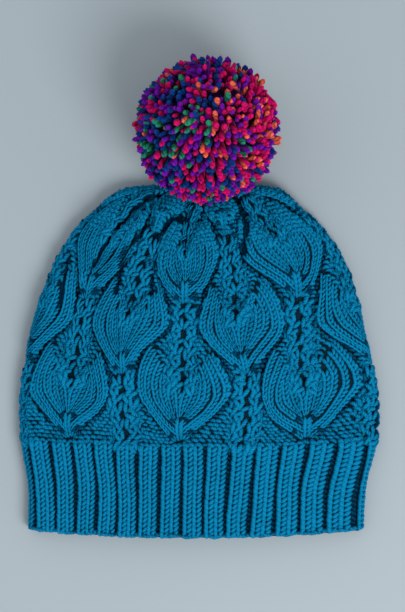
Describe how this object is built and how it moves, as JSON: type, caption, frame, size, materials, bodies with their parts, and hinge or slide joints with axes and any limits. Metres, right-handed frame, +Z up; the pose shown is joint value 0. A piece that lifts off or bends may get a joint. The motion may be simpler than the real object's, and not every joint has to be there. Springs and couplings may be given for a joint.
{
  "type": "knitted bobble hat",
  "caption": "Hand-knitted winter hat with a ribbed edge, a leaf and eyelet crown gathered at the top, and a large multicolour yarn pompom, lying flat.",
  "frame": {"origin": "on the surface that the hat lies on, below the middle of its box", "axes": "+X across the hat, +Y from the ribbed edge to the pompom, +Z up from the surface"},
  "size_m": [0.2216, 0.2935, 0.0844],
  "materials": {
    "band_yarn": "soft plied wool yarn in two-by-two rib, teal blue",
    "crown_yarn": "soft plied wool yarn in a raised leaf and eyelet pattern, teal blue",
    "pompom_yarn": "cut ends of plump yarn in magenta, purple, blue, green and coral",
    "tie_yarn": "plain wound yarn, hidden between the crown and the pompom"
  },
  "bodies": {
    "root": {"ribbed_band": "band_yarn", "leaf_crown": "crown_yarn", "pompom": "pompom_yarn", "pompom_tie": "tie_yarn"}
  },
  "joints": []
}
